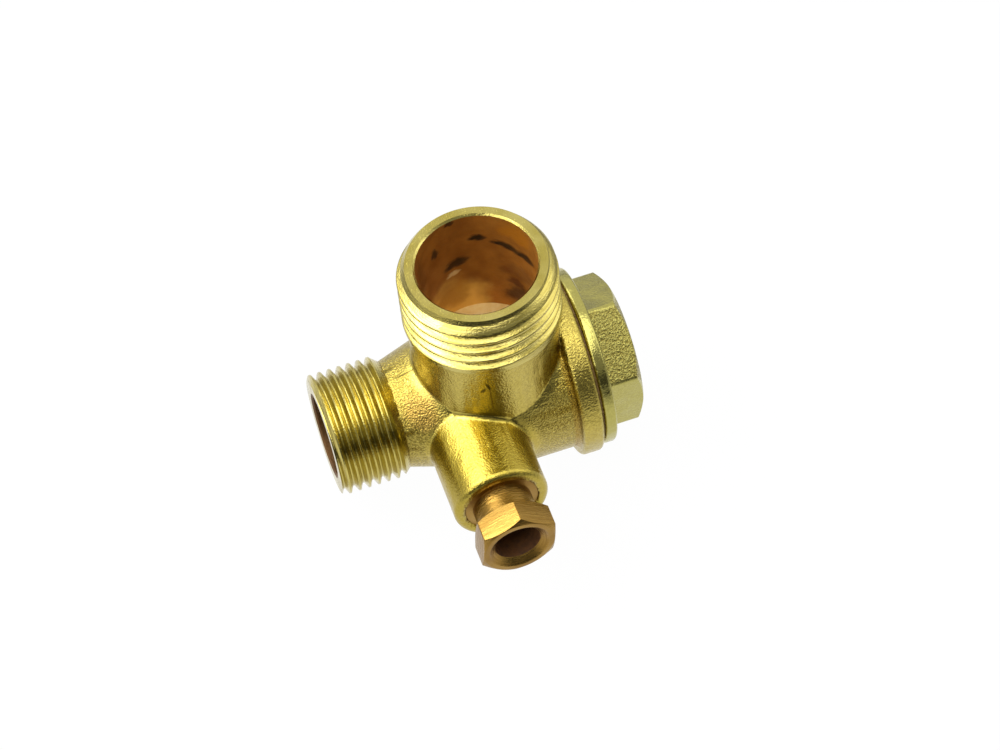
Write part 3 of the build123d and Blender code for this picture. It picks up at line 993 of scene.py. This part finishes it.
@dataclass
class Studio:
    """White floor and background, soft lamps, the dim front of the room and the camera, in metres."""

    floor_size: float = 6.0
    floor_colour: str = "#F4F4F4"
    floor_roughness: float = 0.9
    ambient: float = 0.6
    floor_glow: float = 0.98
    pool_middle: tuple[float, float, float] = (-0.02, 0.015, 0.0)
    pool_start: float = 0.055
    pool_end: float = 0.12
    shaded_floor: float = 0.4
    camera_place: tuple[float, float, float] = (-0.05937, -0.265511, 0.359975)
    camera_right: tuple[float, float, float] = (0.94625, -0.3157, -0.07025)
    camera_down: tuple[float, float, float] = (-0.29574, -0.75668, -0.58307)
    lens: float = 125.164
    near_clip: float = 0.01
    softboxes: tuple[Softbox, ...] = (
        Softbox("key_softbox", 162, 50, 98, 46, 0.5, 1.9),
        Softbox("key_core", 162, 50, 34, 22, 0.48, 5.0),
        Softbox("overhead", -100, 80, 38, 44, 0.5, 2.3),
        Softbox("right_strip", -4, 36, 28, 46, 0.5, 1.0),
    )
    dim: tuple[DarkPatch, ...] = (
        DarkPatch(-92, 8, 66, 28, 0.06),
        DarkPatch(-85, 44, 36, 20, 0.35),
    )

    def build(self) -> None:
        """Sets up the whole studio round the valve."""
        low, high = CAD_BOX
        middle = (low + high) / 2
        for softbox in self.softboxes:
            softbox.build(middle)
        self.lay_floor(low.z)
        self.light_world()
        self.place_camera()
        bpy.context.scene.view_settings.view_transform = "Standard"

    def lay_floor(self, height: float) -> None:
        """Lays a white floor that keeps a soft shadow, and that the metal mirrors dimmer further off."""
        bpy.ops.object.select_all(action="DESELECT")
        bpy.ops.mesh.primitive_plane_add(size=self.floor_size, location=(0, 0, height))
        floor = bpy.context.object
        floor.name = "studio_floor"
        material = bpy.data.materials.new("white_paper_sweep")
        material.use_nodes = True
        tree = material.node_tree
        shader = tree.nodes["Principled BSDF"]
        shader.inputs["Base Color"].default_value = hex_colour(self.floor_colour)
        shader.inputs["Roughness"].default_value = self.floor_roughness
        share = add_node(tree, "ShaderNodeMath", {1: self.floor_glow}, {0: self.seen_directly(tree)},
                         operation="MULTIPLY")
        away = add_node(tree, "ShaderNodeVectorMath", {1: self.pool_middle},
                        {0: add_node(tree, "ShaderNodeTexCoord").outputs["Object"]}, operation="DISTANCE")
        shade = add_node(tree, "ShaderNodeMapRange",
                         {"From Min": self.pool_end, "From Max": self.pool_start,
                          "To Min": self.shaded_floor},
                         {"Value": away.outputs["Value"]}, interpolation_type="SMOOTHSTEP")
        path = add_node(tree, "ShaderNodeLightPath")
        seen = add_node(tree, "ShaderNodeMix", {3: 1.0},
                        {0: path.outputs["Is Camera Ray"], 2: shade.outputs["Result"]}, data_type="FLOAT")
        glow = add_node(tree, "ShaderNodeEmission", None, {"Strength": seen.outputs[0]})
        mix = add_node(tree, "ShaderNodeMixShader", None,
                       {0: share.outputs[0], 1: shader.outputs["BSDF"], 2: glow.outputs["Emission"]})
        tree.links.new(mix.outputs[0], tree.nodes["Material Output"].inputs["Surface"])
        floor.data.materials.append(material)

    def seen_directly(self, tree: bpy.types.NodeTree) -> bpy.types.NodeSocket:
        """One for rays that show a surface to the eye or in a reflection, and none for the rest."""
        path = add_node(tree, "ShaderNodeLightPath")
        either = add_node(tree, "ShaderNodeMath", None,
                          {0: path.outputs["Is Camera Ray"], 1: path.outputs["Is Glossy Ray"]},
                          operation="MAXIMUM")
        every = add_node(tree, "ShaderNodeMath", None,
                         {0: either.outputs[0], 1: path.outputs["Is Transmission Ray"]}, operation="MAXIMUM")
        return every.outputs[0]

    def light_world(self) -> None:
        """Makes the room white to the eye, dim in front where the metal mirrors it, and plain otherwise."""
        world = bpy.data.worlds.new("studio")
        bpy.context.scene.world = world
        world.use_nodes = True
        tree = world.node_tree
        towards = add_node(tree, "ShaderNodeTexCoord").outputs["Generated"]
        path = add_node(tree, "ShaderNodeLightPath")
        room = add_node(tree, "ShaderNodeMapRange", {"To Min": self.ambient, "To Max": 1.0},
                        {"Value": self.seen_directly(tree)}).outputs["Result"]
        for patch in self.dim:
            room = patch.lay_over(tree, towards, room)
        eye = add_node(tree, "ShaderNodeMix", {3: 1.0}, {0: path.outputs["Is Camera Ray"], 2: room},
                       data_type="FLOAT")
        background = tree.nodes["Background"]
        background.inputs["Color"].default_value = (1, 1, 1, 1)
        tree.links.new(eye.outputs[0], background.inputs["Strength"])

    def place_camera(self) -> None:
        """Sets the camera where the photograph was taken from."""
        lens = bpy.data.cameras.new("camera")
        lens.lens = self.lens
        lens.clip_start = self.near_clip
        camera = bpy.data.objects.new("camera", lens)
        bpy.context.scene.collection.objects.link(camera)
        right = Vector(self.camera_right)
        up = -Vector(self.camera_down)
        turn = Matrix((right, up, right.cross(up))).transposed()
        camera.matrix_world = Matrix.Translation(self.camera_place) @ turn.to_4x4()
        bpy.context.scene.camera = camera


def main() -> None:
    """Builds every piece in order, logging its face count, then the studio."""
    logging.basicConfig(level=logging.INFO, format="%(name)s: %(message)s")
    pieces = (
        ValveCasting(),
        SoftenedNode("valve_cap", "body", "cap_brass", CapBrass(), 0.22),
        DressedNode("cap_gasket", "gasket_fibre", PressedFibre()),
        DressedNode("poppet", "poppet_brass", CutBrass("cut_brass_poppet", port=Port.INLET)),
        DressedNode("poppet_seal", "seal_rubber", MouldedRubber()),
        PoppetSpring(),
        SoftenedNode("gland_nut", "nut", "nut_bronze",
                     CutBrass("cut_bronze_nut", "#A2803E", "#8E6C30", (0.22, 0.36), port=Port.GLAND),
                     0.14, Finish("bronze_oxidised", "#6A4420", "#4E3016", (0.5, 0.7), 0.2, 0.8),
                     hole_radius=3.15, shoulder=-17.6, shoulder_shift=-1.1),
        DressedNode("gland_ferrule", "ferrule_brass", CutBrass("cut_brass_ferrule", port=Port.GLAND)),
    )
    for piece in pieces:
        made = piece.build()
        LOG.info("%s: %d faces", made.name, len(made.data.polygons))
    Studio().build()


if __name__ == "__main__":
    main()
